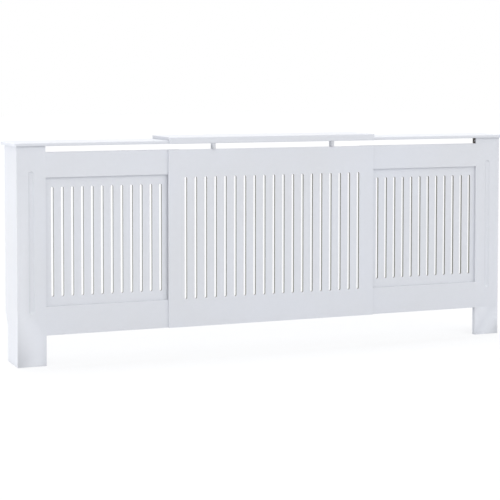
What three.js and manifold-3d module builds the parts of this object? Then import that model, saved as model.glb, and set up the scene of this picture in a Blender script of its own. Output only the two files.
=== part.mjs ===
// An extending radiator cover in painted board. Two end sections stand on the floor and slide
// under and behind a centre section. All sizes are in millimetres: X is the width, the front
// faces -Y, the wall is at +Y and Z is up. The cover is drawn right out.

import * as THREE from 'three';
import { mergeVertices } from 'three/addons/utils/BufferGeometryUtils.js';
import Module from 'manifold-3d';

const wasm = await Module();
wasm.setup();

// ---- The case ----
const SPREAD = 2000;              // over the outside faces of the side panels, drawn right out
const CASE_DEPTH = 179;           // from the front face of the end frames back to the wall
const CASE_HEIGHT = 798;          // from the floor to the underside of the end shelves
const AIR_GAP = 22;               // warm-air gap between the top rails and the shelves
const FLOOR_GAP = 111;            // from the floor to the lower edge of the bottom rails

// ---- End frames ----
const FRAME_TUCK = 48;            // end frame left behind the centre panel when it is drawn right out
const FRAME_THICKNESS = 18;
const POST_WIDTH = 107;
const STILE_WIDTH = 30;
const TOP_RAIL_HEIGHT = 92;
const BOTTOM_RAIL_HEIGHT = 104.5;
const RECESS_DEPTH = 9;           // the grille lies this far behind the face of its frame
const REBATE_WIDTH = 8;           // how far the grille laps behind its frame

const FLUTE_WIDTH = 22;           // routed hollow down the middle of each post
const FLUTE_DEPTH = 4.5;
const FLUTE_BOTTOM = 190;
const FLUTE_TOP_MARGIN = 90;      // from the top of the post down to the flute

// ---- Grilles ----
const GRILLE_THICKNESS = 9;
const END_SLOT_WIDTH = 10;
const END_SLOT_PITCH = 37.7;
const END_SLOT_POST_MARGIN = 26.45;    // from the post to the middle of the first slot
const END_SLOT_STILE_MARGIN = 20; // least room from the middle of the last slot to the stile
const END_SLOT_END_MARGIN = 34.25;     // from the top and bottom of the recess to the slots

// ---- Side panels ----
const SIDE_THICKNESS = 12;
const NOTCH_DEPTH = 35;           // room for the skirting board
const NOTCH_HEIGHT = 130;
const NOTCH_RISE = 50;            // the top of the notch slopes up by this much towards the wall

// ---- Shelves ----
const SHELF_THICKNESS = 12;
const SHELF_OVERHANG = 9;         // past the front of the end frames
const SHELF_END_OVERHANG = 15;    // past the outside of the side panels
const SHELF_CORNER_RADIUS = 15;   // of the outer front corner, seen from above
const SHELF_EDGE_RADIUS = 2.5;
const CENTRE_SHELF_THICKNESS = 12;
const CENTRE_SHELF_SETBACK = 1;   // of each end, inside the side edge of the centre panel
const LIP_THICKNESS = 9;          // the down-turned front edge of the centre shelf

// ---- Centre panel and its spacers ----
const CENTRE_PANEL_WIDTH = 850.5;
const CENTRE_PANEL_THICKNESS = 9;
const CENTRE_SLOT_WIDTH = 10;
const CENTRE_SLOT_PITCH = 39.8;
const CENTRE_SLOT_SIDE_MARGIN = 60;    // least room from a side edge to the middle of a slot
const CENTRE_SLOT_TOP_MARGIN = 102;    // from the upper edge of the panel to the slots
const CENTRE_SLOT_BOTTOM_MARGIN = 105;
const SPACER_WIDTH = 10;
const SPACER_DEPTH = 26;
const SPACER_SETBACK = 2;         // behind the front of the lip
const SPACER_SPREAD = 492;        // between the middles of the two spacers

// ---- Fastenings ----
const DOWEL_RADIUS = 3;
const RAIL_DOWEL_LENGTH = 30;
const RAIL_DOWEL_INSET = 25;      // from the long edges of a rail to its dowels
const SHELF_DOWEL_LENGTH = 22;
const SHELF_DOWEL_COVER = 3.7;    // board left above a shelf dowel
const REAR_DOWEL_INSET = 60;      // from the wall to the rear shelf dowel
const SPACER_DOWEL_RADIUS = 2;
const SPACER_DOWEL_LENGTH = 18;
const SCREW_LENGTH = 18;
const SCREW_RADIUS = 1.75;
const SCREW_TIP = 3;
const HEAD_RADIUS = 3.2;
const HEAD_HEIGHT = 2.2;
const BLOCK_THICKNESS = 10;       // corner block, along the width of the cover
const BLOCK_DEPTH = 22;           // corner block, from front to back
const BLOCK_HEIGHT = 40;
const BLOCK_WEB = 10;             // block left under the head of the long-bored screw
const BLOCK_SCREW_OFFSET = 6;     // of each screw from the middle of its block
const POST_BLOCK_LEVELS = [620, 90];   // middle heights of the blocks behind a post
const HOUSING_SKIN = 4.5;         // post left in front of the block that holds the shelf

// ---- Clearances ----
const SEAM = 0.3;                 // between pieces that are fastened together
const SLIDE_GAP = 0.3;            // between pieces that slide past each other
const BORE_CLEARANCE = 0.3;       // round a dowel or a screw, and past its end

// ---- Faces and levels that follow from the sizes ----
const CENTRE_REACH = SHELF_OVERHANG + SLIDE_GAP + LIP_THICKNESS;
const WALL_Y = (CASE_DEPTH + CENTRE_REACH) / 2;
const FRONT_Y = WALL_Y - CASE_DEPTH;
const FRAME_BACK_Y = FRONT_Y + FRAME_THICKNESS;
const GRILLE_Y = FRONT_Y + RECESS_DEPTH + SEAM;
const SHELF_FRONT_Y = FRONT_Y - SHELF_OVERHANG;
const LIP_BACK_Y = SHELF_FRONT_Y - SLIDE_GAP;
const LIP_FRONT_Y = LIP_BACK_Y - LIP_THICKNESS;
const PANEL_BACK_Y = FRONT_Y - SLIDE_GAP;
const PANEL_FRONT_Y = PANEL_BACK_Y - CENTRE_PANEL_THICKNESS;

const RAIL_TOP = CASE_HEIGHT - AIR_GAP;
const RECESS_TOP = RAIL_TOP - TOP_RAIL_HEIGHT;
const RECESS_BOTTOM = FLOOR_GAP + BOTTOM_RAIL_HEIGHT;
const SHELF_BOTTOM = CASE_HEIGHT + SEAM;
const SHELF_TOP = SHELF_BOTTOM + SHELF_THICKNESS;
const CENTRE_SHELF_BOTTOM = SHELF_TOP + SLIDE_GAP;

// Distances from the middle of the cover, the same on both sides.
const OUTSIDE = SPREAD / 2;
const POST_INNER = OUTSIDE - POST_WIDTH;
const PANEL_REACH = CENTRE_PANEL_WIDTH / 2;
const SHELF_REACH = PANEL_REACH - CENTRE_SHELF_SETBACK;
const FRAME_END = PANEL_REACH - FRAME_TUCK;
const STILE_OUTER = FRAME_END + STILE_WIDTH;
const SIDE_INNER = OUTSIDE - SIDE_THICKNESS;

const ARC_STEPS = 5;              // steps in each quarter circle at the end of a slot
const EDGE_STEPS = 4;             // steps in each rounded shelf edge
const CORNER_STEPS = 8;           // steps in the rounded corner of an end shelf
const ROUND_STEPS = 12;           // sides of a dowel, screw or bore
const FLUTE_STEPS = 40;

// ---- Finishes ----
const WHITE = { color: 0xdcdfe5, roughness: 0.45, metalness: 0 };
const BROWN = { color: 0x3a2f28, roughness: 0.5, metalness: 0 };
const BEECH = { color: 0xc9a878, roughness: 0.7, metalness: 0 };
const ZINC = { color: 0xb9bcc0, roughness: 0.35, metalness: 1 };

const X_AXIS = new THREE.Vector3(1, 0, 0);
const Y_AXIS = new THREE.Vector3(0, 1, 0);
const Z_AXIS = new THREE.Vector3(0, 0, 1);

// ---- Solids ----

function toSolid(geometry) {
  const bare = geometry.clone();
  bare.deleteAttribute('normal');
  bare.deleteAttribute('uv');
  const merged = mergeVertices(bare);
  return new wasm.Manifold(new wasm.Mesh({
    numProp: 3,
    vertProperties: new Float32Array(merged.attributes.position.array),
    triVerts: new Uint32Array(merged.index.array),
  }));
}

function toGeometry(solid) {
  const mesh = solid.getMesh();
  const geometry = new THREE.BufferGeometry();
  geometry.setAttribute('position', new THREE.BufferAttribute(mesh.vertProperties, 3));
  geometry.setIndex(new THREE.BufferAttribute(mesh.triVerts, 1));
  geometry.computeVertexNormals();
  return geometry;
}

// A box between two corners, given as [from, to] along each axis in either order.
function box(spanX, spanY, spanZ) {
  const geometry = new THREE.BoxGeometry(
    Math.abs(spanX[1] - spanX[0]), Math.abs(spanY[1] - spanY[0]), Math.abs(spanZ[1] - spanZ[0]));
  geometry.translate(
    (spanX[0] + spanX[1]) / 2, (spanY[0] + spanY[1]) / 2, (spanZ[0] + spanZ[1]) / 2);
  return toSolid(geometry);
}

// Turns a lathed form, which stands along Y with its foot at the origin, to point along an axis.
function aimed(geometry, start, axis) {
  geometry.applyQuaternion(new THREE.Quaternion().setFromUnitVectors(Y_AXIS, axis));
  return geometry.translate(start.x, start.y, start.z);
}

function lathed(profile, start, axis, steps = ROUND_STEPS) {
  const points = profile.map(([radius, height]) => new THREE.Vector2(radius, height));
  return aimed(new THREE.LatheGeometry(points, steps), start, axis);
}

function rod(radius, length, start, axis) {
  return lathed([[0, 0], [radius, 0], [radius, length], [0, length]], start, axis);
}

function cut(solid, cutters) {
  return cutters.reduce((rest, cutter) => rest.subtract(cutter), solid);
}

function node(name, geometry, finish) {
  const mesh = new THREE.Mesh(geometry, new THREE.MeshStandardMaterial(finish));
  mesh.name = name;
  return mesh;
}

// ---- Fastenings ----

// A dowel is given by its middle, its axis, its radius and its length.
function dowelStart(dowel, extra) {
  return dowel.middle.clone().addScaledVector(dowel.axis, -dowel.length / 2 - extra);
}

function dowelGeometry(dowel) {
  return rod(dowel.radius, dowel.length, dowelStart(dowel, 0), dowel.axis);
}

function dowelBore(dowel) {
  return toSolid(rod(dowel.radius + BORE_CLEARANCE, dowel.length + 2 * BORE_CLEARANCE,
    dowelStart(dowel, BORE_CLEARANCE), dowel.axis));
}

// A screw is given by the underside of its head, the way it points and the bore behind its head.
function screwGeometry(screw) {
  const start = screw.seat.clone().addScaledVector(screw.along, -HEAD_HEIGHT);
  return lathed([
    [0, 0],
    [HEAD_RADIUS, 0],
    [SCREW_RADIUS, HEAD_HEIGHT],
    [SCREW_RADIUS, HEAD_HEIGHT + SCREW_LENGTH - SCREW_TIP],
    [0, HEAD_HEIGHT + SCREW_LENGTH],
  ], start, screw.along);
}

function screwBore(screw) {
  const start = screw.seat.clone().addScaledVector(screw.along, -HEAD_HEIGHT - screw.access);
  const headEnd = HEAD_HEIGHT + screw.access;
  const boreRadius = SCREW_RADIUS + BORE_CLEARANCE;
  const coneRadius = HEAD_RADIUS + BORE_CLEARANCE;
  const coneStart = screw.access;
  return toSolid(lathed([
    [0, 0],
    [coneRadius, 0],
    [coneRadius, coneStart],
    [boreRadius, headEnd],
    [boreRadius, headEnd + SCREW_LENGTH + BORE_CLEARANCE],
    [0, headEnd + SCREW_LENGTH + BORE_CLEARANCE],
  ], start, screw.along));
}

// ---- Slotted boards ----

function slotPath(middleX, bottomZ, topZ, width) {
  const radius = width / 2;
  const path = new THREE.Path();
  path.absarc(middleX, topZ - radius, radius, 0, Math.PI, false);
  path.absarc(middleX, bottomZ + radius, radius, Math.PI, 2 * Math.PI, false);
  path.closePath();
  return path;
}

// The middles of a row of slots, as many as fit from the first to the limit.
function slotMiddles(first, limit, pitch) {
  const count = Math.floor(Math.abs(limit - first) / pitch) + 1;
  const step = Math.sign(limit - first) * pitch;
  return Array.from({ length: count }, (_, i) => first + i * step);
}

// An upright board with its front face at frontY, standing on an outline drawn in X and Z.
function uprightBoard(outline, frontY, thickness) {
  const geometry = new THREE.ExtrudeGeometry(outline, {
    depth: thickness, bevelEnabled: false, curveSegments: ARC_STEPS,
  });
  geometry.rotateX(Math.PI / 2);
  return geometry.translate(0, frontY + thickness, 0);
}

function rectangle(x0, x1, z0, z1) {
  const shape = new THREE.Shape();
  shape.moveTo(Math.min(x0, x1), z0);
  shape.lineTo(Math.max(x0, x1), z0);
  shape.lineTo(Math.max(x0, x1), z1);
  shape.lineTo(Math.min(x0, x1), z1);
  shape.closePath();
  return shape;
}

function grillePanel(side) {
  const outline = rectangle(
    side * (STILE_OUTER - REBATE_WIDTH + SEAM), side * (POST_INNER + REBATE_WIDTH - SEAM),
    RECESS_BOTTOM - REBATE_WIDTH + SEAM, RECESS_TOP + REBATE_WIDTH - SEAM);
  const middles = slotMiddles(
    side * (POST_INNER - END_SLOT_POST_MARGIN), side * (STILE_OUTER + END_SLOT_STILE_MARGIN),
    END_SLOT_PITCH);
  for (const middle of middles) {
    outline.holes.push(slotPath(
      middle, RECESS_BOTTOM + END_SLOT_END_MARGIN, RECESS_TOP - END_SLOT_END_MARGIN,
      END_SLOT_WIDTH));
  }
  return toSolid(uprightBoard(outline, GRILLE_Y, GRILLE_THICKNESS));
}

function centrePanel() {
  const outline = rectangle(-PANEL_REACH, PANEL_REACH, FLOOR_GAP, RAIL_TOP);
  const limit = PANEL_REACH - CENTRE_SLOT_SIDE_MARGIN;
  const half = slotMiddles(0, limit, CENTRE_SLOT_PITCH);
  const middles = [...half.slice(1).map((middle) => -middle), ...half];
  for (const middle of middles) {
    outline.holes.push(slotPath(
      middle, FLOOR_GAP + CENTRE_SLOT_BOTTOM_MARGIN, RAIL_TOP - CENTRE_SLOT_TOP_MARGIN,
      CENTRE_SLOT_WIDTH));
  }
  return toSolid(uprightBoard(outline, PANEL_FRONT_Y, CENTRE_PANEL_THICKNESS));
}

// ---- End frame ----

// The room that the grille takes behind the frame, cut out of the post, the rails and the stile.
function grilleRebate(side) {
  return box(
    [side * (STILE_OUTER - REBATE_WIDTH), side * (POST_INNER + REBATE_WIDTH)],
    [FRONT_Y + RECESS_DEPTH, FRAME_BACK_Y + FRAME_THICKNESS],
    [RECESS_BOTTOM - REBATE_WIDTH, RECESS_TOP + REBATE_WIDTH]);
}

// A round-nosed cutter whose arc is FLUTE_WIDTH wide and FLUTE_DEPTH deep at the post's face.
function fluteCutter(side) {
  const radius = (FLUTE_WIDTH ** 2 / 4 + FLUTE_DEPTH ** 2) / (2 * FLUTE_DEPTH);
  const straight = CASE_HEIGHT - FLUTE_TOP_MARGIN - FLUTE_BOTTOM - FLUTE_WIDTH;
  const profile = [];
  for (let i = 0; i <= FLUTE_STEPS / 4; i += 1) {
    const angle = (i / (FLUTE_STEPS / 4)) * Math.PI / 2;
    profile.push([radius * Math.sin(angle), -radius * Math.cos(angle)]);
  }
  for (let i = 0; i <= FLUTE_STEPS / 4; i += 1) {
    const angle = (i / (FLUTE_STEPS / 4)) * Math.PI / 2;
    profile.push([radius * Math.cos(angle), straight + radius * Math.sin(angle)]);
  }
  profile[0][0] = 0;
  profile[profile.length - 1][0] = 0;
  const start = new THREE.Vector3(
    side * (OUTSIDE - POST_WIDTH / 2),
    FRONT_Y + FLUTE_DEPTH - radius,
    FLUTE_BOTTOM + FLUTE_WIDTH / 2);
  return toSolid(lathed(profile, start, Z_AXIS, FLUTE_STEPS));
}

// The notch in the top of the post, at its inner back corner, for the block that holds the shelf.
function blockHousing(side) {
  return box(
    [side * (POST_INNER - SEAM), side * (POST_INNER + BLOCK_THICKNESS + SEAM)],
    [FRONT_Y + HOUSING_SKIN, FRAME_BACK_Y + FRAME_THICKNESS],
    [RAIL_TOP, CASE_HEIGHT + SEAM]);
}

function post(side) {
  return box([side * POST_INNER, side * OUTSIDE], [FRONT_Y, FRAME_BACK_Y], [0, CASE_HEIGHT])
    .subtract(fluteCutter(side))
    .subtract(blockHousing(side));
}

function rail(side, bottom, top) {
  return box(
    [side * FRAME_END, side * (POST_INNER - SEAM)], [FRONT_Y, FRAME_BACK_Y], [bottom, top]);
}

function stile(side) {
  return box(
    [side * FRAME_END, side * STILE_OUTER],
    [FRONT_Y, FRAME_BACK_Y],
    [RECESS_BOTTOM + SEAM, RECESS_TOP - SEAM]);
}

// ---- Side panel and shelves ----

function sidePanel(side) {
  const frontY = FRAME_BACK_Y + SEAM;
  const outline = new THREE.Shape();
  outline.moveTo(frontY, 0);
  outline.lineTo(WALL_Y - NOTCH_DEPTH, 0);
  outline.lineTo(WALL_Y - NOTCH_DEPTH, NOTCH_HEIGHT);
  outline.lineTo(WALL_Y, NOTCH_HEIGHT + NOTCH_RISE);
  outline.lineTo(WALL_Y, CASE_HEIGHT);
  outline.lineTo(frontY, CASE_HEIGHT);
  outline.closePath();
  const geometry = new THREE.ExtrudeGeometry(outline, {
    depth: SIDE_THICKNESS, bevelEnabled: false,
  });
  geometry.rotateX(Math.PI / 2);
  geometry.rotateZ(Math.PI / 2);
  return toSolid(geometry.translate(side > 0 ? SIDE_INNER : -OUTSIDE, 0, 0));
}

// An end shelf, with all its edges rounded over. The outline is drawn inside the rounding.
function endShelf(side) {
  const inner = FRAME_END + SHELF_EDGE_RADIUS;
  const outer = OUTSIDE + SHELF_END_OVERHANG - SHELF_EDGE_RADIUS;
  const front = SHELF_FRONT_Y + SHELF_EDGE_RADIUS;
  const back = WALL_Y - SHELF_EDGE_RADIUS;
  const radius = SHELF_CORNER_RADIUS - SHELF_EDGE_RADIUS;
  const outline = new THREE.Shape();
  outline.moveTo(side * inner, back);
  outline.lineTo(side * inner, front);
  for (let i = 0; i <= CORNER_STEPS; i += 1) {
    const angle = (i / CORNER_STEPS) * Math.PI / 2;
    outline.lineTo(
      side * (outer - radius + radius * Math.sin(angle)), front + radius - radius * Math.cos(angle));
  }
  outline.lineTo(side * outer, back);
  outline.closePath();
  const geometry = new THREE.ExtrudeGeometry(outline, {
    depth: SHELF_THICKNESS - 2 * SHELF_EDGE_RADIUS,
    bevelThickness: SHELF_EDGE_RADIUS,
    bevelSize: SHELF_EDGE_RADIUS,
    bevelSegments: EDGE_STEPS,
  });
  return toSolid(geometry.translate(0, 0, SHELF_BOTTOM + SHELF_EDGE_RADIUS));
}

// The centre shelf's section, drawn in Y and Z, is a board with a lip down its front edge.
function centreShelfSection() {
  const top = CENTRE_SHELF_BOTTOM + CENTRE_SHELF_THICKNESS;
  const front = LIP_FRONT_Y + SHELF_EDGE_RADIUS;
  const section = new THREE.Shape();
  section.moveTo(front, CASE_HEIGHT);
  section.lineTo(LIP_BACK_Y, CASE_HEIGHT);
  section.lineTo(LIP_BACK_Y, CENTRE_SHELF_BOTTOM);
  section.lineTo(WALL_Y, CENTRE_SHELF_BOTTOM);
  section.lineTo(WALL_Y, top);
  section.lineTo(front, top);
  section.absarc(front, top - SHELF_EDGE_RADIUS, SHELF_EDGE_RADIUS, Math.PI / 2, Math.PI, false);
  section.absarc(
    front, CASE_HEIGHT + SHELF_EDGE_RADIUS, SHELF_EDGE_RADIUS, Math.PI, 1.5 * Math.PI, false);
  return section;
}

function centreShelf() {
  const geometry = new THREE.ExtrudeGeometry(centreShelfSection(), {
    depth: 2 * SHELF_REACH, bevelEnabled: false, curveSegments: EDGE_STEPS,
  });
  geometry.rotateX(Math.PI / 2);
  geometry.rotateZ(Math.PI / 2);
  return toSolid(geometry.translate(-SHELF_REACH, 0, 0));
}

// ---- Centre section ----

const SPACER_FRONT_Y = LIP_FRONT_Y + SPACER_SETBACK;
const SPACER_TOP = CASE_HEIGHT - SEAM;
const SPACER_BOTTOM = RAIL_TOP + SEAM;

function spacer(side) {
  const middle = side * SPACER_SPREAD / 2;
  return box(
    [middle - SPACER_WIDTH / 2, middle + SPACER_WIDTH / 2],
    [SPACER_FRONT_Y, SPACER_FRONT_Y + SPACER_DEPTH],
    [SPACER_BOTTOM, SPACER_TOP]);
}

// One upright dowel goes down into the panel and one goes up into the lip.
function spacerDowels(side) {
  const x = side * SPACER_SPREAD / 2;
  const lipY = (SPACER_FRONT_Y + LIP_BACK_Y) / 2;
  const panelY = (PANEL_FRONT_Y + PANEL_BACK_Y) / 2;
  const dowel = (y, z) => ({
    middle: new THREE.Vector3(x, y, z),
    axis: Z_AXIS,
    radius: SPACER_DOWEL_RADIUS,
    length: SPACER_DOWEL_LENGTH,
  });
  return { upper: dowel(lipY, CASE_HEIGHT), lower: dowel(panelY, RAIL_TOP) };
}

function centreSection() {
  const group = new THREE.Group();
  const dowels = { left: spacerDowels(-1), right: spacerDowels(1) };
  const bores = Object.values(dowels).flatMap(
    (pair) => [dowelBore(pair.upper), dowelBore(pair.lower)]);
  group.add(node('centre_panel', toGeometry(cut(centrePanel(), bores)), WHITE));
  group.add(node('centre_shelf', toGeometry(cut(centreShelf(), bores)), WHITE));
  for (const [name, side] of [['left', -1], ['right', 1]]) {
    group.add(node(`${name}_spacer`, toGeometry(cut(spacer(side), bores)), WHITE));
    for (const [place, dowel] of Object.entries(dowels[name])) {
      group.add(node(`${name}_spacer_${place}_dowel`, dowelGeometry(dowel), BEECH));
    }
  }
  return group;
}

// ---- End section ----

function railDowels(side) {
  const dowel = (x, z, axis) => ({
    middle: new THREE.Vector3(side * x, FRONT_Y + FRAME_THICKNESS / 2, z),
    axis,
    radius: DOWEL_RADIUS,
    length: RAIL_DOWEL_LENGTH,
  });
  const stileMiddle = (FRAME_END + STILE_OUTER) / 2;
  return {
    top_rail_dowel_1: dowel(POST_INNER, RAIL_TOP - RAIL_DOWEL_INSET, X_AXIS),
    top_rail_dowel_2: dowel(POST_INNER, RECESS_TOP + RAIL_DOWEL_INSET, X_AXIS),
    bottom_rail_dowel_1: dowel(POST_INNER, RECESS_BOTTOM - RAIL_DOWEL_INSET, X_AXIS),
    bottom_rail_dowel_2: dowel(POST_INNER, FLOOR_GAP + RAIL_DOWEL_INSET, X_AXIS),
    stile_top_dowel: dowel(stileMiddle, RECESS_TOP, Z_AXIS),
    stile_bottom_dowel: dowel(stileMiddle, RECESS_BOTTOM, Z_AXIS),
  };
}

// One dowel stands in the post and one in the side panel.
function shelfDowels(side) {
  const top = SHELF_TOP - SHELF_DOWEL_COVER;
  const dowel = (x, y) => ({
    middle: new THREE.Vector3(side * x, y, top - SHELF_DOWEL_LENGTH / 2),
    axis: Z_AXIS,
    radius: DOWEL_RADIUS,
    length: SHELF_DOWEL_LENGTH,
  });
  return {
    shelf_front_dowel: dowel(OUTSIDE - POST_WIDTH / 2, FRONT_Y + FRAME_THICKNESS / 2),
    shelf_rear_dowel: dowel(OUTSIDE - SIDE_THICKNESS / 2, WALL_Y - REAR_DOWEL_INSET),
  };
}

// The three corner blocks of one end: two behind the post and one that holds the shelf to it.
function cornerBlocks(side) {
  const behindX = side * (SIDE_INNER - SEAM - BLOCK_THICKNESS / 2);
  const behindY = FRAME_BACK_Y + SEAM + BLOCK_DEPTH / 2;
  const housedX = side * (POST_INNER + BLOCK_THICKNESS / 2);
  const housedY = FRONT_Y + HOUSING_SKIN + SEAM + BLOCK_DEPTH / 2;
  const housedBottom = RAIL_TOP + SEAM;
  const forward = Y_AXIS.clone().negate();
  const behind = (level) => ({
    middle: new THREE.Vector3(behindX, behindY, level),
    height: BLOCK_HEIGHT,
    outward: side,
    fixing: forward,
  });
  return {
    upper_post_block: behind(POST_BLOCK_LEVELS[0]),
    lower_post_block: behind(POST_BLOCK_LEVELS[1]),
    shelf_block: {
      middle: new THREE.Vector3(housedX, housedY, (housedBottom + CASE_HEIGHT) / 2),
      height: CASE_HEIGHT - housedBottom,
      outward: side,
      fixing: Z_AXIS,
    },
  };
}

// One screw goes sideways, away from the middle of the cover. The other goes forward into the
// post, or up into the shelf.
function blockScrews(block) {
  const upright = block.fixing === Z_AXIS;
  const reach = upright ? block.height : BLOCK_DEPTH;
  const across = upright ? Y_AXIS : Z_AXIS;
  const sideSeat = block.middle.clone()
    .addScaledVector(across, -BLOCK_SCREW_OFFSET)
    .addScaledVector(X_AXIS, -block.outward * (BLOCK_THICKNESS / 2 - HEAD_HEIGHT));
  const farSeat = block.middle.clone()
    .addScaledVector(across, BLOCK_SCREW_OFFSET)
    .addScaledVector(block.fixing, reach / 2 - BLOCK_WEB);
  return {
    side_screw: {
      seat: sideSeat, along: X_AXIS.clone().multiplyScalar(block.outward), access: BLOCK_WEB,
    },
    board_screw: { seat: farSeat, along: block.fixing, access: reach },
  };
}

function blockSolid(block) {
  const { x, y, z } = block.middle;
  return box(
    [x - BLOCK_THICKNESS / 2, x + BLOCK_THICKNESS / 2],
    [y - BLOCK_DEPTH / 2, y + BLOCK_DEPTH / 2],
    [z - block.height / 2, z + block.height / 2]);
}

function endSection(name, side) {
  const group = new THREE.Group();
  const dowels = { ...railDowels(side), ...shelfDowels(side) };
  const blocks = cornerBlocks(side);
  const screws = {};
  for (const [blockName, block] of Object.entries(blocks)) {
    for (const [screwName, screw] of Object.entries(blockScrews(block))) {
      screws[`${blockName}_${screwName}`] = screw;
    }
  }
  const bores = [
    ...Object.values(dowels).map(dowelBore),
    ...Object.values(screws).map(screwBore),
  ];
  const rebate = grilleRebate(side);
  const boards = {
    post: post(side).subtract(rebate),
    top_rail: rail(side, RECESS_TOP, RAIL_TOP).subtract(rebate),
    bottom_rail: rail(side, FLOOR_GAP, RECESS_BOTTOM).subtract(rebate),
    inner_stile: stile(side).subtract(rebate),
    grille_panel: grillePanel(side),
    side_panel: sidePanel(side),
    end_shelf: endShelf(side),
  };
  for (const [boardName, board] of Object.entries(boards)) {
    group.add(node(`${name}_${boardName}`, toGeometry(cut(board, bores)), WHITE));
  }
  for (const [blockName, block] of Object.entries(blocks)) {
    group.add(node(`${name}_${blockName}`, toGeometry(cut(blockSolid(block), bores)), BROWN));
  }
  for (const [dowelName, dowel] of Object.entries(dowels)) {
    group.add(node(`${name}_${dowelName}`, dowelGeometry(dowel), BEECH));
  }
  for (const [screwName, screw] of Object.entries(screws)) {
    group.add(node(`${name}_${screwName}`, screwGeometry(screw), ZINC));
  }
  return group;
}

const cover = new THREE.Group();
cover.add(centreSection(), endSection('left', -1), endSection('right', 1));

export default cover;
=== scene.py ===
import math

import bmesh
import bpy
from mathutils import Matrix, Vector


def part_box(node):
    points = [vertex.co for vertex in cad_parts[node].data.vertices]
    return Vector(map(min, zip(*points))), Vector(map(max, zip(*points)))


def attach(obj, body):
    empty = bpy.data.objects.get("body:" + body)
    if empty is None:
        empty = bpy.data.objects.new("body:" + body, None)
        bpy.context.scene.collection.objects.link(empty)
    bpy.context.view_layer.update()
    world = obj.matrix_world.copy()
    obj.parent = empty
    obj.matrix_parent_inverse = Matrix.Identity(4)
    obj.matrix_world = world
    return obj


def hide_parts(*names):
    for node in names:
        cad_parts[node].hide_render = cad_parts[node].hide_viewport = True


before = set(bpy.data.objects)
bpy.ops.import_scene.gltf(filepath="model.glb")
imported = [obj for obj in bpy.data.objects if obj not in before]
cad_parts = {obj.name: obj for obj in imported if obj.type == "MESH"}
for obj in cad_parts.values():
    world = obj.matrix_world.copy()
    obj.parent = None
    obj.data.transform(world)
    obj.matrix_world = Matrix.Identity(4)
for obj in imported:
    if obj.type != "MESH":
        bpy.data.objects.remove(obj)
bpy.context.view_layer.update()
SCENE = bpy.context.scene
MM = 0.001
X, Y, Z = 0, 1, 2

# ---- The photograph's camera ----
# It stands to the left of the cover and 5.4 m in front of it, a little above the shelves.
IMAGE_SIZE = 500
FOCAL_PIXELS = 1536.93
# In pixels from the left and from the top. The photograph's own lies higher still, but more shift
# than this would push the cover out of the frame in the views from other sides.
OPTICAL_CENTRE = (226.25, 150.0)
CAMERA_PLACE = (-2.34637, -5.44851, 1.06790)
CAMERA_YAW = math.radians(21.8655)     # to the right of straight ahead
CAMERA_PITCH = math.radians(2.9422)    # downwards
SENSOR_WIDTH = 36.0
CLIP_START = 0.1
CLIP_END = 200.0

# ---- Colours, as they look in plain light (sRGB, 0 to 255) ----
PAINT_WARM_RGB = (229, 231, 236)
PAINT_COOL_RGB = (231, 234, 242)
# The spacers' greyer tone is painted shade, as if under the lip of the shelf.
SAWN_SHADED_WARM_RGB = (219, 221, 225)
SAWN_SHADED_COOL_RGB = (221, 223, 229)
WORN_EDGE_RGB = (214, 211, 205)
# Slot walls: greyer fibre, and darker still as painted shade of the narrow slots.
ROUTED_SHADED_WARM_RGB = (172, 170, 162)
ROUTED_SHADED_COOL_RGB = (178, 177, 172)
PLASTIC_RGB = (58, 47, 42)
PLASTIC_WORN_RGB = (78, 67, 61)
BEECH_RGB = (206, 172, 124)
BEECH_DARK_RGB = (178, 139, 92)
BEECH_RAY_RGB = (150, 108, 68)
ZINC_RGB = (196, 198, 202)
ZINC_DARK_RGB = (150, 153, 158)
FLOOR_RGB = (186, 187, 189)
FLOOR_LIGHT_RGB = (192, 193, 195)
FLOOR_SEEN_RGB = (137, 138, 140)  # the part of the floor's white that a shadow can darken
WHITE_RGB = (255, 255, 255)
BLACK_RGB = (0, 0, 0)

# ---- The parts of the cover ----
ENDS = (("left", -1), ("right", 1))
BODIES = {
    "centre": "centre_section",
    "left": "left_end_section",
    "right": "right_end_section",
}


def linear(rgb):
    """A colour written in sRGB from 0 to 255, as Blender's linear colour."""
    def one(value):
        value /= 255
        return value / 12.92 if value <= 0.04045 else ((value + 0.055) / 1.055) ** 2.4
    return (*[one(v) for v in rgb], 1.0)


# ---- Node helpers ----

# The sockets of a Mix node that mixes colours.
MIX_FACTOR, MIX_FIRST, MIX_SECOND, MIX_RESULT = 0, 6, 7, 2


def add_node(tree, kind, values=None, **settings):
    """A shader node with its settings, and the values of its unlinked inputs by name."""
    made = tree.nodes.new(kind)
    for name, value in settings.items():
        setattr(made, name, value)
    for name, value in (values or {}).items():
        made.inputs[name].default_value = value
    return made


def feed(tree, socket, value):
    """Gives an input its value: another node's output, or a plain number or colour."""
    if isinstance(value, bpy.types.NodeSocket):
        tree.links.new(value, socket)
    else:
        socket.default_value = value


def new_material(name):
    material = bpy.data.materials.new(name)
    material.use_nodes = True
    tree = material.node_tree
    tree.nodes.clear()
    output = tree.nodes.new("ShaderNodeOutputMaterial")
    return material, tree, output.inputs["Surface"]


def new_surface(name, values):
    """A material of one Principled shader, with the values of its unlinked inputs."""
    material, tree, surface = new_material(name)
    shader = add_node(tree, "ShaderNodeBsdfPrincipled", values)
    feed(tree, surface, shader.outputs["BSDF"])
    return material, tree, shader.inputs


def noise(tree, place, pattern, seed=0.0):
    """Three-dimensional noise of a pattern: its scale, detail, roughness and own seed."""
    scale, detail, roughness, own_seed = pattern
    made = add_node(tree, "ShaderNodeTexNoise", {
        "Scale": scale, "Detail": detail, "Roughness": roughness, "W": seed + own_seed,
    }, noise_dimensions="4D")
    feed(tree, made.inputs["Vector"], place)
    return made.outputs["Fac"]


def spread(tree, value, source, target=(0.0, 1.0)):
    """Stretches a source span of values onto a target span, which holds all that lies outside."""
    made = add_node(tree, "ShaderNodeMapRange", {
        "From Min": source[0], "From Max": source[1], "To Min": target[0], "To Max": target[1],
    })
    feed(tree, made.inputs["Value"], value)
    return made.outputs["Result"]


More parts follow.
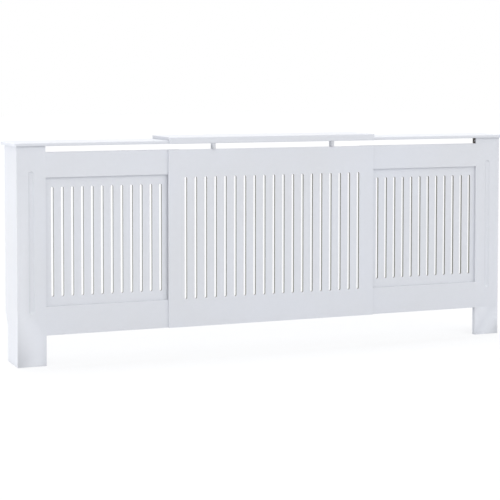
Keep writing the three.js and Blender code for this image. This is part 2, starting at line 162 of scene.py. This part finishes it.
def calculate(tree, operation, first, second):
    made = add_node(tree, "ShaderNodeMath", operation=operation)
    feed(tree, made.inputs[0], first)
    feed(tree, made.inputs[1], second)
    return made.outputs["Value"]


def mix_colours(tree, factor, first, second, blend="MIX"):
    made = add_node(tree, "ShaderNodeMix", data_type="RGBA", blend_type=blend)
    for index, value in ((MIX_FACTOR, factor), (MIX_FIRST, first), (MIX_SECOND, second)):
        feed(tree, made.inputs[index], value)
    return made.outputs[MIX_RESULT]


def bump(tree, height, relief, normal=None):
    """A relief given by its depth in metres and its strength, on a smooth or a bumpy surface."""
    depth, strength = relief
    made = add_node(tree, "ShaderNodeBump", {"Distance": depth, "Strength": strength})
    feed(tree, made.inputs["Height"], height)
    if normal is not None:
        feed(tree, made.inputs["Normal"], normal)
    return made.outputs["Normal"]


def object_place(tree, scale=(1.0, 1.0, 1.0)):
    """The point on the object, which moves with the piece, in metres or stretched by a scale."""
    place = add_node(tree, "ShaderNodeTexCoord")
    stretched = add_node(tree, "ShaderNodeMapping", {"Scale": scale})
    feed(tree, stretched.inputs["Vector"], place.outputs["Object"])
    return stretched.outputs["Vector"]


def edge_mask(tree, radius, agreement):
    """
    1 along outside and inside edges that are sharper than the radius, 0 on flat faces.

    The agreement of the face with its rounded shape, as a cosine, is given for 0 and for 1.
    """
    rounded = add_node(tree, "ShaderNodeBevel", {"Radius": radius}, samples=4)
    flat = add_node(tree, "ShaderNodeNewGeometry")
    dot = add_node(tree, "ShaderNodeVectorMath", operation="DOT_PRODUCT")
    feed(tree, dot.inputs[0], rounded.outputs["Normal"])
    feed(tree, dot.inputs[1], flat.outputs["Normal"])
    return spread(tree, dot.outputs["Value"], agreement)


# ---- Painted board ----
# A pattern is a noise's scale (its features are 1 / scale metres across), detail, roughness and
# seed. A relief is its depth in metres and its strength.

NOISE_SPAN = (0.3, 0.7)           # nearly all values of a noise lie in this span
PATCH_SPAN = (0.35, 0.7)          # the higher values of a noise, which make patches

CLOUDS = (2.3, 3.0, 0.55, 0.0)    # broad drifts of tone, about half a metre across
MOTTLE = (60.0, 4.0, 0.6, 3.0)
RUBBING = (95.0, 3.0, 0.6, 7.0)
GLOSS = (14.0, 4.0, 0.6, 11.0)
ORANGE_PEEL = (420.0, 1.5, 0.5, 17.0)   # about 2.4 mm from one swell of sprayed paint to the next
DUST = (1900.0, 2.0, 0.6, 19.0)

PAINT_IOR = 1.45
PAINT_ROUGHNESS = (0.36, 0.46)
MOTTLE_DEPTH = 0.015              # how far the mottling goes towards black
THIN_PAINT_REACH = 0.0012         # how far from an edge the paint is thin
THIN_PAINT_AGREEMENT = (0.985, 0.86)
RUBBED_SPAN = (0.35, 0.75)
RUBBED_MOST = 0.35                # how far the tone of the thinnest paint goes to the board's own
PEEL_RELIEF = (0.00012, 0.25)
DUST_RELIEF = (0.00003, 0.35)
PAINTED_SHADE_REACH = 0.024              # how far the painted shade of an inside corner reaches
PAINTED_SHADE_SPAN = (0.3, 0.95)         # how open the deepest corner is, and a place with no painted shade
PAINTED_SHADE_TONE = (0.87, 1.0)         # how light the painted shade leaves the paint there


def painted_corner_shade(tree, tone):
    """Paints shade into a tone in inside corners and narrow slots, darker where less is open around
    them.
    """
    corner = add_node(tree, "ShaderNodeAmbientOcclusion", {"Distance": PAINTED_SHADE_REACH}, samples=8)
    level = spread(tree, corner.outputs["AO"], PAINTED_SHADE_SPAN, PAINTED_SHADE_TONE)
    grey = add_node(tree, "ShaderNodeCombineColor")
    for channel in ("Red", "Green", "Blue"):
        feed(tree, grey.inputs[channel], level)
    return mix_colours(tree, 1.0, tone, grey.outputs["Color"], "MULTIPLY")


def painted_board(name, seed, warm_rgb=PAINT_WARM_RGB, cool_rgb=PAINT_COOL_RGB,
                  roughness=PAINT_ROUGHNESS, peel_relief=PEEL_RELIEF):
    """Fibreboard sprayed with white satin paint, with painted shade in its inside corners and
    slots.
    """
    material, tree, inputs = new_surface(name, {"IOR": PAINT_IOR})
    place = object_place(tree)

    clouds = spread(tree, noise(tree, place, CLOUDS, seed), NOISE_SPAN)
    tone = mix_colours(tree, clouds, linear(warm_rgb), linear(cool_rgb))
    mottle = spread(tree, noise(tree, place, MOTTLE, seed), NOISE_SPAN)
    darker = mix_colours(tree, MOTTLE_DEPTH, tone, linear(BLACK_RGB))
    tone = mix_colours(tree, mottle, darker, tone)
    # The paint is thinner over the edges, where the board's warm tone shows through a little.
    edge = edge_mask(tree, THIN_PAINT_REACH, THIN_PAINT_AGREEMENT)
    rubbed = spread(tree, noise(tree, place, RUBBING, seed), RUBBED_SPAN, (0.0, RUBBED_MOST))
    wear = calculate(tree, "MULTIPLY", edge, rubbed)
    tone = mix_colours(tree, wear, tone, linear(WORN_EDGE_RGB))
    # Painted shade: the tone is darkened in inside corners and narrow slots.
    feed(tree, inputs["Base Color"], painted_corner_shade(tree, tone))

    gloss = noise(tree, place, GLOSS, seed)
    feed(tree, inputs["Roughness"], spread(tree, gloss, NOISE_SPAN, roughness))
    peel = bump(tree, noise(tree, place, ORANGE_PEEL, seed), peel_relief)
    feed(tree, inputs["Normal"], bump(tree, noise(tree, place, DUST, seed), DUST_RELIEF, peel))
    return material


# ---- Plastic, beech and zinc ----

PLASTIC_CLOUDS = (45.0, 3.0, 0.5, 0.0)
PLASTIC_GLOSS = (300.0, 3.0, 0.5, 0.0)
SPARK_GRAIN = (2600.0, 2.0, 0.5, 0.0)
PLASTIC_IOR = 1.49
PLASTIC_ROUGHNESS = (0.42, 0.56)
PLASTIC_CLOUD_MOST = 0.4          # how far the palest cloud goes to the tone of the worn edges
PLASTIC_EDGE_REACH = 0.0008
PLASTIC_EDGE_AGREEMENT = (0.98, 0.85)
SPARK_RELIEF = (0.00006, 0.5)

BEECH_GRAIN = (1.0, 4.0, 0.6, 0.0)
BEECH_RAYS = (1.0, 2.0, 0.5, 5.0)
# How many features a metre they have across the grain and along it.
BEECH_GRAIN_STRETCH = (1400.0, 90.0)
BEECH_RAY_STRETCH = (2600.0, 420.0)
BEECH_RAY_SPAN = (0.55, 0.7)
BEECH_RAY_MOST = 0.5
BEECH_IOR = 1.5
BEECH_ROUGHNESS = (0.6, 0.75)
BEECH_RELIEF = (0.0001, 0.5)

ZINC_PATCHES = (700.0, 3.0, 0.5, 0.0)
ZINC_MARKS = (5200.0, 2.0, 0.5, 0.0)
ZINC_ROUGHNESS = (0.26, 0.42)
ZINC_RELIEF = (0.00003, 0.4)


def moulded_plastic(name):
    """Dark brown plastic with a fine spark-eroded grain, lighter where its edges are rubbed."""
    material, tree, inputs = new_surface(name, {"IOR": PLASTIC_IOR})
    place = object_place(tree)
    clouds = spread(tree, noise(tree, place, PLASTIC_CLOUDS), PATCH_SPAN,
                    (0.0, PLASTIC_CLOUD_MOST))
    edge = edge_mask(tree, PLASTIC_EDGE_REACH, PLASTIC_EDGE_AGREEMENT)
    tone = mix_colours(tree, clouds, linear(PLASTIC_RGB), linear(PLASTIC_WORN_RGB))
    tone = mix_colours(tree, edge, tone, linear(PLASTIC_WORN_RGB))
    feed(tree, inputs["Base Color"], tone)
    gloss = noise(tree, place, PLASTIC_GLOSS)
    feed(tree, inputs["Roughness"], spread(tree, gloss, NOISE_SPAN, PLASTIC_ROUGHNESS))
    feed(tree, inputs["Normal"], bump(tree, noise(tree, place, SPARK_GRAIN), SPARK_RELIEF))
    return material


def stretched_noise(tree, axis, stretch, pattern):
    """Noise that is stretched along an axis."""
    across, along = stretch
    scale = [across] * 3
    scale[axis] = along
    return noise(tree, object_place(tree, scale), pattern)


def turned_beech(name, axis):
    """Pale beech with short dark rays along the grain, which runs along an axis."""
    material, tree, inputs = new_surface(name, {"IOR": BEECH_IOR})
    grain = stretched_noise(tree, axis, BEECH_GRAIN_STRETCH, BEECH_GRAIN)
    rays = stretched_noise(tree, axis, BEECH_RAY_STRETCH, BEECH_RAYS)
    tone = mix_colours(tree, spread(tree, grain, PATCH_SPAN),
                       linear(BEECH_RGB), linear(BEECH_DARK_RGB))
    tone = mix_colours(tree, spread(tree, rays, BEECH_RAY_SPAN, (0.0, BEECH_RAY_MOST)),
                       tone, linear(BEECH_RAY_RGB))
    feed(tree, inputs["Base Color"], tone)
    feed(tree, inputs["Roughness"], spread(tree, rays, NOISE_SPAN, BEECH_ROUGHNESS))
    feed(tree, inputs["Normal"], bump(tree, grain, BEECH_RELIEF))
    return material


def zinc_plate(name):
    """Bright zinc plating with fine marks and duller patches."""
    material, tree, inputs = new_surface(name, {"Metallic": 1.0})
    place = object_place(tree)
    patches = spread(tree, noise(tree, place, ZINC_PATCHES), PATCH_SPAN)
    tone = mix_colours(tree, patches, linear(ZINC_RGB), linear(ZINC_DARK_RGB))
    feed(tree, inputs["Base Color"], tone)
    feed(tree, inputs["Roughness"], spread(tree, patches, (0.0, 1.0), ZINC_ROUGHNESS))
    feed(tree, inputs["Normal"], bump(tree, noise(tree, place, ZINC_MARKS), ZINC_RELIEF))
    return material


# Each section was sprayed as one, so its boards share one coat.
PAINTS = {
    "centre": painted_board("white_paint_centre", 1.0),
    "left": painted_board("white_paint_left", 4.0),
    "right": painted_board("white_paint_right", 9.0),
}
# Slot walls are rough and greyer where routed fibre shows; their darkness is painted shade.
ROUTED_PAINT_AND_SHADE = painted_board("white_paint_and_painted_shade_in_the_slots", 13.0, ROUTED_SHADED_WARM_RGB, ROUTED_SHADED_COOL_RGB,
                             roughness=(0.6, 0.75), peel_relief=(0.0003, 0.25))
# The sawn spacers are rougher; their greyer tone is painted shade from the shelf's lip.
SAWN_PAINT_AND_SHADE = painted_board("white_paint_and_painted_shade_on_sawn_faces", 21.0, SAWN_SHADED_WARM_RGB, SAWN_SHADED_COOL_RGB,
                           roughness=(0.5, 0.6), peel_relief=(0.0002, 0.25))
PLASTIC = moulded_plastic("brown_plastic")
BEECH = [turned_beech(f"beech_dowel_grain_{letter}", axis) for axis, letter in enumerate("xyz")]
ZINC = zinc_plate("zinc_screw")


# ---- Solids ----

NEAR = 0.005 * MM                 # two places this close on an axis are the same
WELD = 1e-6                       # corners this close, in metres, become one
FLAT_ANGLE = math.radians(0.5)    # faces that turn less than this become one polygon
SMOOTH_ANGLE = math.radians(35)   # edges that turn more than this are shaded sharp
HARD_ANGLE = math.radians(40)     # outside edges that turn more than this are eased
EDGE_STEPS = 3


def always(_middle):
    return True


def clean_solid(name):
    """A node's solid with shared corners and one polygon for each flat face."""
    mesh = bmesh.new()
    mesh.from_mesh(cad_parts[name].data)
    bmesh.ops.remove_doubles(mesh, verts=mesh.verts, dist=WELD)
    bmesh.ops.dissolve_limit(mesh, angle_limit=FLAT_ANGLE, verts=mesh.verts, edges=mesh.edges)
    return mesh


def hard_edges(mesh, keep):
    """The hard outside edges whose middle keep(middle) picks."""
    found = []
    for edge in mesh.edges:
        if len(edge.link_faces) != 2 or edge.calc_face_angle_signed(0.0) < HARD_ANGLE:
            continue
        if keep((edge.verts[0].co + edge.verts[1].co) / 2):
            found.append(edge)
    return found


def round_edges(mesh, radius, keep=always):
    bmesh.ops.bevel(
        mesh, geom=hard_edges(mesh, keep), offset=radius, offset_type="OFFSET",
        segments=EDGE_STEPS, profile=0.5, affect="EDGES", clamp_overlap=True)


def split_at(mesh, axis, levels):
    """Divides the faces and edges that cross a plane at each level of an axis."""
    normal = Vector((0, 0, 0))
    normal[axis] = 1.0
    for level in levels:
        bmesh.ops.bisect_plane(
            mesh, geom=mesh.verts[:] + mesh.edges[:] + mesh.faces[:],
            plane_co=normal * level, plane_no=normal)


def move_face(mesh, axis, place, distance):
    """Moves all corners that lie at a place on an axis along that axis."""
    for vertex in mesh.verts:
        if abs(vertex.co[axis] - place) < NEAR:
            vertex.co[axis] += distance


def add_piece(mesh, node_name, piece_name, body, materials):
    """Makes the visible piece for a CAD node out of an edit mesh."""
    data = bpy.data.meshes.new(piece_name)
    mesh.to_mesh(data)
    mesh.free()
    data.set_sharp_from_angle(angle=SMOOTH_ANGLE)
    piece = bpy.data.objects.new(piece_name, data)
    SCENE.collection.objects.link(piece)
    weighted = piece.modifiers.new("even_shading", "WEIGHTED_NORMAL")
    weighted.keep_sharp = True
    for material in materials:
        data.materials.append(material)
    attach(piece, body)
    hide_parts(node_name)


# ---- Boards ----

EDGE_RADIUS = 0.8 * MM
SHELF_EDGE_RADIUS = 2.0 * MM
SPACER_EDGE_RADIUS = 0.4 * MM
PAINTED_JOINT = 0.02 * MM         # what is left of a joint that is filled and painted over
RIM = 15.0 * MM                   # a slotted board has no slots this close to its edges
WALL_FACING = 0.5                 # the walls of a slot face forward or back less than this


def add_board(mesh, node_name, section, materials=None):
    add_piece(mesh, node_name, f"{node_name}_painted", BODIES[section],
              materials or [PAINTS[section]])


def plain_board(node_name, section, radius=EDGE_RADIUS, materials=None):
    mesh = clean_solid(node_name)
    round_edges(mesh, radius)
    add_board(mesh, node_name, section, materials)


def slotted_board(node_name, section):
    """A board whose slots have rougher, greyer walls than its faces, darkened further with painted
    shade.
    """
    mesh = clean_solid(node_name)
    round_edges(mesh, EDGE_RADIUS)
    low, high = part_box(node_name)
    for face in mesh.faces:
        middle = face.calc_center_median()
        inside = all(low[axis] + RIM < middle[axis] < high[axis] - RIM for axis in (X, Z))
        if inside and abs(face.normal.y) < WALL_FACING:
            # These walls take the greyer paint with painted shade.
            face.material_index = 1
    add_board(mesh, node_name, section, [PAINTS[section], ROUTED_PAINT_AND_SHADE])


def between(value, low, high):
    return low - NEAR < value < high + NEAR


def post_board(end, side):
    """The post, whose joints with the rails and the side panel are painted over."""
    name = f"{end}_post"
    low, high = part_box(name)
    inner_x = low.x if side > 0 else high.x
    outer_x = high.x if side > 0 else low.x
    rails = [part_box(f"{end}_{rail}") for rail in ("bottom_rail", "top_rail")]
    mesh = clean_solid(name)
    split_at(mesh, Z, [corner.z for rail in rails for corner in rail])

    def shown(middle):
        at_rail = any(between(middle.z, bottom.z, top.z) for bottom, top in rails)
        on_joint = abs(middle.x - inner_x) < NEAR and at_rail
        on_side_panel = abs(middle.x - outer_x) < NEAR and abs(middle.y - high.y) < NEAR
        return not on_joint and not on_side_panel

    round_edges(mesh, EDGE_RADIUS, shown)
    add_board(mesh, name, end)


def rail_board(end, side, rail):
    """A rail, lengthened so that the joint with its post closes."""
    name = f"{end}_{rail}"
    low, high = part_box(name)
    post_low, post_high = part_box(f"{end}_post")
    outer_x = high.x if side > 0 else low.x
    gap = post_low.x - high.x if side > 0 else low.x - post_high.x
    reach = side * (gap - PAINTED_JOINT)
    mesh = clean_solid(name)
    move_face(mesh, X, outer_x, reach)
    round_edges(mesh, EDGE_RADIUS, lambda middle: abs(middle.x - outer_x - reach) > NEAR)
    add_board(mesh, name, end)


def stile_board(end):
    """The stile, lengthened so that its joints with the rails close."""
    name = f"{end}_inner_stile"
    low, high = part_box(name)
    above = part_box(f"{end}_top_rail")[0].z - high.z - PAINTED_JOINT
    below = low.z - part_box(f"{end}_bottom_rail")[1].z - PAINTED_JOINT
    mesh = clean_solid(name)
    move_face(mesh, Z, high.z, above)
    move_face(mesh, Z, low.z, -below)
    round_edges(mesh, EDGE_RADIUS,
                lambda middle: between(middle.z, low.z + EDGE_RADIUS, high.z - EDGE_RADIUS))
    add_board(mesh, name, end)


def side_board(end):
    """The side panel, which meets the back of the post under one coat of paint."""
    name = f"{end}_side_panel"
    low, _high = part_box(name)
    gap = low.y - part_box(f"{end}_post")[1].y
    front_y = low.y - (gap - PAINTED_JOINT)
    mesh = clean_solid(name)
    move_face(mesh, Y, low.y, front_y - low.y)
    round_edges(mesh, EDGE_RADIUS, lambda middle: abs(middle.y - front_y) > NEAR)
    add_board(mesh, name, end)


# ---- Fastenings ----

BLOCK_EDGE = 0.6 * MM
ROUND_STEPS = 24                  # points round a screw, and flutes round a dowel
HEAD_RADIUS = 3.2 * MM
HEAD_HEIGHT = 2.2 * MM
HEAD_EDGE = 0.15 * MM
THREAD_CREST = 1.75 * MM
THREAD_ROOT = 1.25 * MM
THREAD_PITCH = 1.4 * MM
RINGS_PER_TURN = 6
TIP_LENGTH = 3.0 * MM
NECK_LENGTH = 0.8 * MM
RECESS_ARM = 0.45 * MM            # half the width of an arm of the cross recess
RECESS_REACH = 1.7 * MM
RECESS_DEPTH = 1.3 * MM
RECESS_POINT = 1.7 * MM           # how deep the middle of the recess is
RECESS_TAPER = 0.5                # how wide it is at its depth, as a share of its mouth
DOWEL_CHAMFER = 0.7 * MM
DOWEL_FLUTE = 0.2 * MM
NEVER_ZERO = 1e-9


def cross_radius(angle):
    """How far the cross recess reaches from the screw's axis in a direction."""
    along, across = abs(math.cos(angle)), abs(math.sin(angle))
    reaches = []
    for ahead, aside in ((along, across), (across, along)):
        reaches.append(min(RECESS_REACH / max(ahead, NEVER_ZERO),
                           RECESS_ARM / max(aside, NEVER_ZERO)))
    return max(reaches)


def long_axis(node_name):
    low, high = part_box(node_name)
    size = high - low
    return max(range(3), key=lambda axis: size[axis])


def centre_line(node_name, upwards=True):
    """Where the line through a round node starts, its turn from upright, and its length."""
    low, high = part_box(node_name)
    axis = long_axis(node_name)
    start = (low + high) / 2
    start[axis] = low[axis] if upwards else high[axis]
    way = Vector((0, 0, 0))
    way[axis] = 1.0 if upwards else -1.0
    return start, way.to_track_quat("Z", "Y"), high[axis] - low[axis]


def ring_solid(rings, start_cap, end_cap, turn, start):
    """A closed solid through rings of (distance, radii), turned onto an axis and set at a start."""
    mesh = bmesh.new()
    loops = []
    for distance, radii in rings:
        loop = []
        for i, radius in enumerate(radii):
            angle = 2 * math.pi * i / len(radii)
            local = Vector((radius * math.cos(angle), radius * math.sin(angle), distance))
            loop.append(mesh.verts.new(turn @ local + start))
        loops.append(loop)
    for first, second in zip(loops, loops[1:]):
        for i, corner in enumerate(first):
            after = (i + 1) % len(first)
            mesh.faces.new((corner, first[after], second[after], second[i]))
    for loop, distance in ((loops[0], start_cap), (loops[-1], end_cap)):
        middle = mesh.verts.new(turn @ Vector((0, 0, distance)) + start)
        for i, corner in enumerate(loop):
            mesh.faces.new((middle, loop[(i + 1) % len(loop)], corner))
    bmesh.ops.recalc_face_normals(mesh, faces=mesh.faces)
    return mesh


def screw_rings(length):
    """The rings of a screw: its cross recess, its countersunk head and its thread."""
    angles = [2 * math.pi * i / ROUND_STEPS for i in range(ROUND_STEPS)]
    cross = [cross_radius(angle) for angle in angles]

    def plain(radius):
        return [radius] * ROUND_STEPS

    rings = [
        (RECESS_DEPTH, [RECESS_TAPER * radius for radius in cross]),
        (0.0, cross),
        (0.0, plain(HEAD_RADIUS - HEAD_EDGE)),
        (HEAD_EDGE, plain(HEAD_RADIUS)),
        (HEAD_HEIGHT, plain(THREAD_CREST)),
    ]
    thread_start = HEAD_HEIGHT + NECK_LENGTH
    count = int((length - thread_start) / THREAD_PITCH * RINGS_PER_TURN)
    for step in range(count):
        distance = thread_start + step * THREAD_PITCH / RINGS_PER_TURN
        narrowing = min(1.0, (length - distance) / TIP_LENGTH)
        radii = []
        for angle in angles:
            phase = (distance / THREAD_PITCH - angle / (2 * math.pi)) % 1.0
            rise = 1.0 - abs(2 * phase - 1.0)
            radii.append(narrowing * (THREAD_ROOT + (THREAD_CREST - THREAD_ROOT) * rise ** 2))
        rings.append((distance, radii))
    return rings


def points_up(node_name):
    """Whether a screw's tip, which is a single point, lies at the upper end of its axis."""
    low, _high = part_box(node_name)
    axis = long_axis(node_name)
    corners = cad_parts[node_name].data.vertices
    return sum(abs(corner.co[axis] - low[axis]) < NEAR for corner in corners) > 1


def screw(node_name, body):
    start, turn, length = centre_line(node_name, points_up(node_name))
    mesh = ring_solid(screw_rings(length), RECESS_POINT, length, turn, start)
    add_piece(mesh, node_name, f"{node_name}_turned", body, [ZINC])


def dowel(node_name, body):
    """A fluted dowel with chamfered ends."""
    low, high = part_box(node_name)
    axis = long_axis(node_name)
    radius = (high - low)[(axis + 1) % 3] / 2
    start, turn, length = centre_line(node_name)
    fluted = [radius - DOWEL_FLUTE * (i % 2) for i in range(2 * ROUND_STEPS)]
    chamfered = [radius - DOWEL_CHAMFER] * len(fluted)
    rings = [(0.0, chamfered), (DOWEL_CHAMFER, fluted),
             (length - DOWEL_CHAMFER, fluted), (length, chamfered)]
    mesh = ring_solid(rings, 0.0, length, turn, start)
    add_piece(mesh, node_name, f"{node_name}_fluted", body, [BEECH[axis]])


def block(node_name, body):
    mesh = clean_solid(node_name)
    round_edges(mesh, BLOCK_EDGE)
    add_piece(mesh, node_name, f"{node_name}_moulded", body, [PLASTIC])


# ---- The cover ----

slotted_board("centre_panel", "centre")
plain_board("centre_shelf", "centre", SHELF_EDGE_RADIUS)
for node_name in ("left_spacer", "right_spacer"):
    plain_board(node_name, "centre", SPACER_EDGE_RADIUS, [SAWN_PAINT_AND_SHADE])

for end, side in ENDS:
    post_board(end, side)
    rail_board(end, side, "top_rail")
    rail_board(end, side, "bottom_rail")
    stile_board(end)
    slotted_board(f"{end}_grille_panel", end)
    side_board(end)
    plain_board(f"{end}_end_shelf", end)

for node_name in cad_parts:
    # The spacers' names start with their side, but they belong to the centre section.
    section = "centre" if "spacer" in node_name else node_name.split("_")[0]
    if node_name.endswith("block"):
        block(node_name, BODIES[section])
    elif node_name.endswith("screw"):
        screw(node_name, BODIES[section])
    elif "dowel" in node_name:
        dowel(node_name, BODIES[section])


# ---- Floor, light and camera ----

FLOOR_SIZE = 60.0
FLOOR_LEVEL = -0.0002
FLOOR_CLOUDS = (3.0, 3.0, 0.5, 0.0)
# With the light that falls on FLOOR_SEEN_RGB, this glow makes the floor that is seen just white.
FLOOR_GLOW = 0.74
SKY_STRENGTH = 0.72
LAMP_DISTANCE = 6.0               # the soft lights shine the same from any distance
# Turn to the right, height and apparent width in degrees, and strength.
SOFT_LIGHTS = {
    "front_light": (-3.0, 16.0, 70.0, 0.305),
    "overhead_light": (180.0, 80.0, 30.0, 0.35),
}
# The left light stands lower than the shelves, in line with the front of the cover.
LEFT_LIGHT_PLACE = (-6.0, -0.12, 0.38)
LEFT_LIGHT_SIZE = (0.7, 0.65)
LEFT_LIGHT_WATTS = 88.0


def background_rays(tree):
    """1 for rays that see the background: straight from the camera, mirrored or let through."""
    path = add_node(tree, "ShaderNodeLightPath")
    total = path.outputs["Is Camera Ray"]
    for name in ("Is Glossy Ray", "Is Transmission Ray"):
        total = calculate(tree, "MAXIMUM", total, path.outputs[name])
    return total


def make_floor():
    half = FLOOR_SIZE / 2
    mesh = bpy.data.meshes.new("floor")
    corners = [(-half, -half), (half, -half), (half, half), (-half, half)]
    mesh.from_pydata([(x, y, FLOOR_LEVEL) for x, y in corners], [], [(0, 1, 2, 3)])
    floor = bpy.data.objects.new("floor", mesh)
    SCENE.collection.objects.link(floor)
    material, tree, surface = new_material("floor")
    seen = background_rays(tree)
    clouds = spread(tree, noise(tree, object_place(tree), FLOOR_CLOUDS), NOISE_SPAN)
    tone = mix_colours(tree, clouds, linear(FLOOR_RGB), linear(FLOOR_LIGHT_RGB))
    matt = add_node(tree, "ShaderNodeBsdfDiffuse")
    feed(tree, matt.inputs["Color"], mix_colours(tree, seen, tone, linear(FLOOR_SEEN_RGB)))
    glow = add_node(tree, "ShaderNodeEmission")
    feed(tree, glow.inputs["Strength"], calculate(tree, "MULTIPLY", seen, FLOOR_GLOW))
    both = add_node(tree, "ShaderNodeAddShader")
    feed(tree, both.inputs[0], matt.outputs["BSDF"])
    feed(tree, both.inputs[1], glow.outputs["Emission"])
    feed(tree, surface, both.outputs["Shader"])
    mesh.materials.append(material)


def make_world():
    """A pale sky that lights the cover, and shows as plain white."""
    world = bpy.data.worlds.new("studio")
    SCENE.world = world
    world.use_nodes = True
    tree = world.node_tree
    tree.nodes.clear()
    output = tree.nodes.new("ShaderNodeOutputWorld")
    choose = add_node(tree, "ShaderNodeMixShader")
    feed(tree, choose.inputs[0], background_rays(tree))
    for index, strength in ((1, SKY_STRENGTH), (2, 1.0)):
        sky = add_node(tree, "ShaderNodeBackground", {
            "Color": linear(WHITE_RGB), "Strength": strength})
        feed(tree, choose.inputs[index], sky.outputs["Background"])
    feed(tree, output.inputs["Surface"], choose.outputs["Shader"])


def add_lamp(data, place, way):
    """Sets a lamp at a place, to shine along a way."""
    lamp = bpy.data.objects.new(data.name, data)
    SCENE.collection.objects.link(lamp)
    lamp.location = place
    lamp.rotation_mode = "QUATERNION"
    lamp.rotation_quaternion = way.to_track_quat("-Z", "Y")
    lamp.visible_camera = False


def make_soft_light(name, turn, height, width, strength):
    """A far light that makes a white surface that faces it this bright, where 1 is white."""
    data = bpy.data.lights.new(name, "SUN")
    data.angle = math.radians(width)
    data.energy = math.pi * strength
    right, up = math.radians(turn), math.radians(height)
    from_cover = Vector((
        math.cos(up) * math.sin(right), -math.cos(up) * math.cos(right), math.sin(up)))
    add_lamp(data, from_cover * LAMP_DISTANCE, -from_cover)


def make_left_light():
    data = bpy.data.lights.new("left_light", "AREA")
    data.shape = "RECTANGLE"
    data.size, data.size_y = LEFT_LIGHT_SIZE
    data.energy = LEFT_LIGHT_WATTS
    add_lamp(data, LEFT_LIGHT_PLACE, Vector((1, 0, 0)))


def make_camera():
    data = bpy.data.cameras.new("photo_camera")
    data.sensor_fit = "HORIZONTAL"
    data.sensor_width = SENSOR_WIDTH
    data.lens = FOCAL_PIXELS * SENSOR_WIDTH / IMAGE_SIZE
    data.shift_x = (IMAGE_SIZE / 2 - OPTICAL_CENTRE[0]) / IMAGE_SIZE
    data.shift_y = (OPTICAL_CENTRE[1] - IMAGE_SIZE / 2) / IMAGE_SIZE
    data.clip_start = CLIP_START
    data.clip_end = CLIP_END
    camera = bpy.data.objects.new("photo_camera", data)
    SCENE.collection.objects.link(camera)
    forward = Vector((
        math.sin(CAMERA_YAW) * math.cos(CAMERA_PITCH),
        math.cos(CAMERA_YAW) * math.cos(CAMERA_PITCH),
        -math.sin(CAMERA_PITCH)))
    camera.location = CAMERA_PLACE
    camera.rotation_mode = "QUATERNION"
    camera.rotation_quaternion = forward.to_track_quat("-Z", "Y")
    SCENE.camera = camera


make_floor()
make_world()
for name, light in SOFT_LIGHTS.items():
    make_soft_light(name, *light)
make_left_light()
make_camera()

SCENE.view_settings.view_transform = "Standard"
